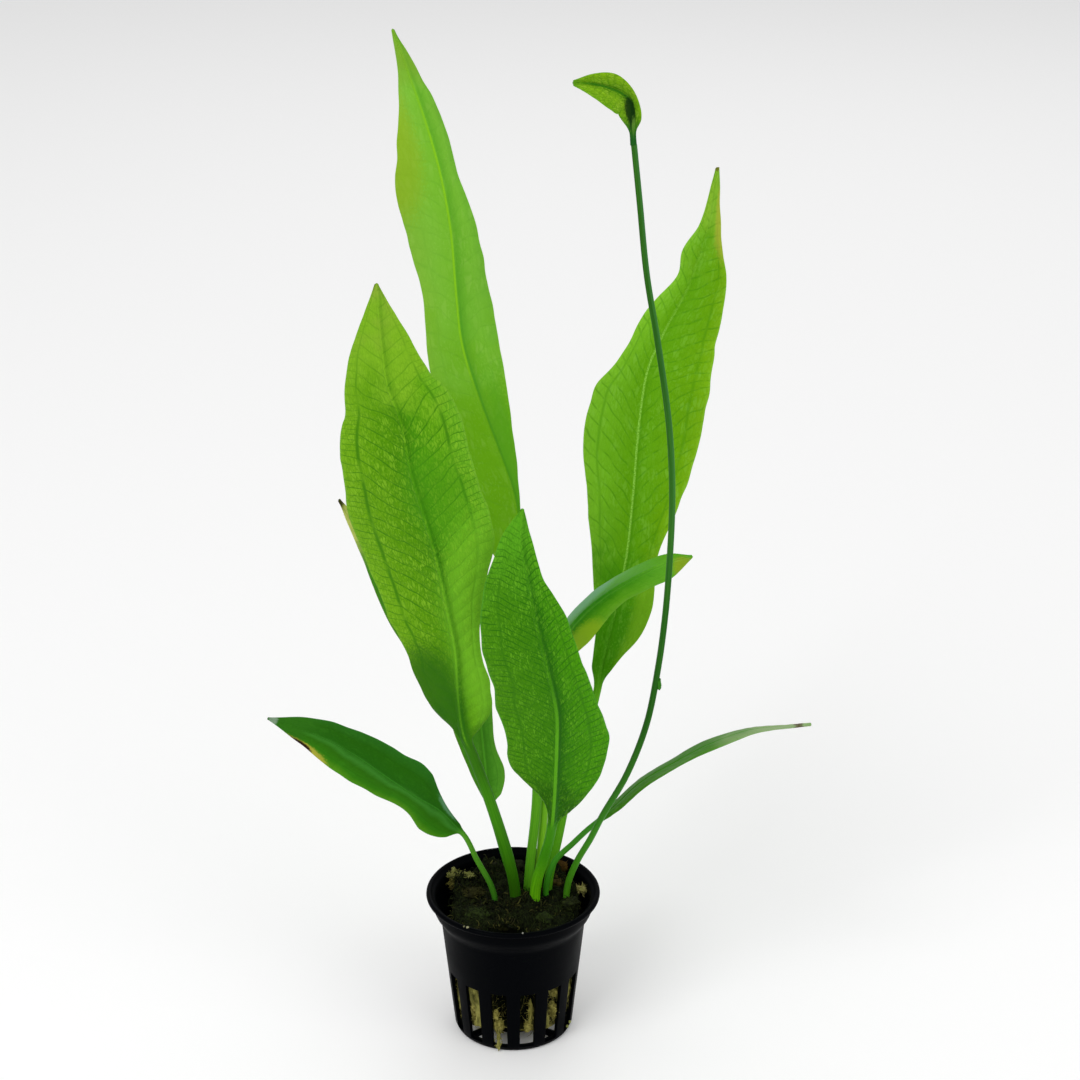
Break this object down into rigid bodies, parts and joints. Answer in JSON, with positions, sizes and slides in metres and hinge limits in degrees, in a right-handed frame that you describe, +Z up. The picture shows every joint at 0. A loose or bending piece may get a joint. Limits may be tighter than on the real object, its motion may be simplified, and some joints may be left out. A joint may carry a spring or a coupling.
{
  "type": "potted amazon sword plant",
  "caption": "Aquarium sword plant with lance-shaped leaves and a tall bare stem, in growing wool in a slotted plastic pot.",
  "frame": {"origin": "centre of the pot's underside, on the surface that the pot stands on", "axes": "+Z up along the pot's axis, -Y towards the side seen in the picture, +X to the right of that side"},
  "size_m": [0.1615, 0.0897, 0.311],
  "materials": {
    "net_pot": "moulded black polypropylene, satin",
    "growing_wool": "matted mineral growing wool, olive-stained and mossy on top",
    "crown": "dull fibrous plant stock",
    "leaf_upper": "upper face of a live leaf, soft sheen",
    "leaf_under": "underside of a live leaf, netted with veins",
    "leaf_dark": "older dark green leaf, soft sheen",
    "stem": "smooth round green stem"
  },
  "bodies": {
    "root": {"net_pot": "net_pot", "growing_wool": "growing_wool", "crown": "crown", "leaf_tall": "leaf_upper", "leaf_front_left": "leaf_under", "leaf_front_centre": "leaf_under", "leaf_behind_left": "leaf_dark", "leaf_right": "leaf_upper", "leaf_bent_right": "leaf_upper", "leaf_low_left": "leaf_dark", "leaf_low_right": "leaf_dark", "tall_stem": "stem", "stem_tip_leaf": "stem"}
  },
  "joints": []
}
